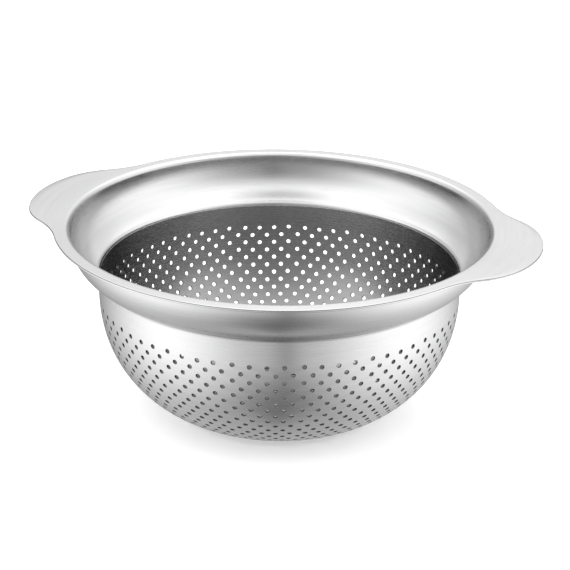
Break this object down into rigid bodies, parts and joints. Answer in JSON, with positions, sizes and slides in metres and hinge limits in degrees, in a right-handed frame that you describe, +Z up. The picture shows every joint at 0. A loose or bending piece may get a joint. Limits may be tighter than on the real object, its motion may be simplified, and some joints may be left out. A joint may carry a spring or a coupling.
{
  "type": "kitchen sieve",
  "caption": "Round drawn-steel kitchen sieve: flat rim with broad ears, hollow collar and a deep perforated bowl basket with a flat base.",
  "frame": {"origin": "centre of the flat base that the sieve stands on", "axes": "+Z up through the mouth, +X from one ear to the other"},
  "size_m": [0.297, 0.255, 0.112],
  "materials": {
    "rim_steel": "fine circular brushing, bright cut edges",
    "basket_steel": "fine circular brushing, satin"
  },
  "bodies": {
    "root": {"rim_collar": "rim_steel", "perforated_basket": "basket_steel"}
  },
  "joints": []
}
